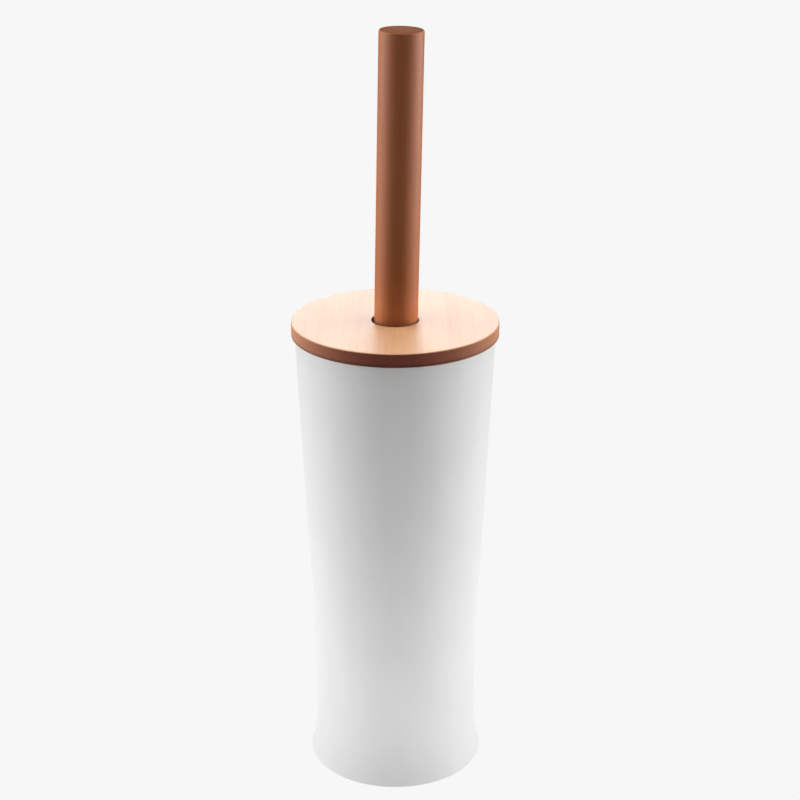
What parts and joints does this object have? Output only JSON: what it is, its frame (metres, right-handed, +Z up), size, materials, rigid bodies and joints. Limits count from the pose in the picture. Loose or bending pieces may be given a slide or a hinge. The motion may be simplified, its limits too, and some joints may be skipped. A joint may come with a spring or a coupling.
{
  "type": "toilet brush holder",
  "caption": "Round tapered canister on a flared foot with a loose disc lid and a lift-out brush whose straight dowel handle passes through the lid.",
  "frame": {"origin": "centre of the canister's foot, on the surface that it stands on", "axes": "+Z up along the canister's axis, -Y to the front; the brush leans 1.1 degrees towards +X"},
  "size_m": [0.1, 0.1, 0.3724],
  "materials": {
    "canister_plastic": "matte white moulded plastic with a very fine texture",
    "lid_bamboo": "carbonised bamboo, laminated from strips, satin lacquer",
    "handle_bamboo": "carbonised bamboo turned to a dowel, satin lacquer",
    "insert_brass": "turned",
    "stud_steel": "rolled thread, bright",
    "core_plastic": "moulded polypropylene",
    "anchor_wire": "flat wire, drawn",
    "bristle": "crimped polypropylene filament"
  },
  "bodies": {
    "holder": {"canister": "canister_plastic"},
    "lid": {"lid": "lid_bamboo"},
    "brush": {"handle": "handle_bamboo", "threaded_insert": "insert_brass", "threaded_stud": "stud_steel", "brush_core": "core_plastic", "tuft_anchors": "anchor_wire", "tuft_row_01": "bristle", "tuft_row_02": "bristle", "tuft_row_03": "bristle", "tuft_row_04": "bristle", "tuft_row_05": "bristle", "tuft_row_06": "bristle", "tuft_row_07": "bristle", "tuft_row_08": "bristle", "tuft_row_09": "bristle", "tuft_row_10": "bristle"}
  },
  "joints": [
    {"name": "lid_lift", "type": "slide", "parent": "holder", "child": "lid", "axis": [0, 0, 1], "range_m": [0, 0.24]},
    {"name": "brush_lift", "type": "slide", "parent": "lid", "child": "brush", "axis": [0.0192, 0, 0.9998], "range_m": [0, 0.102]}
  ]
}
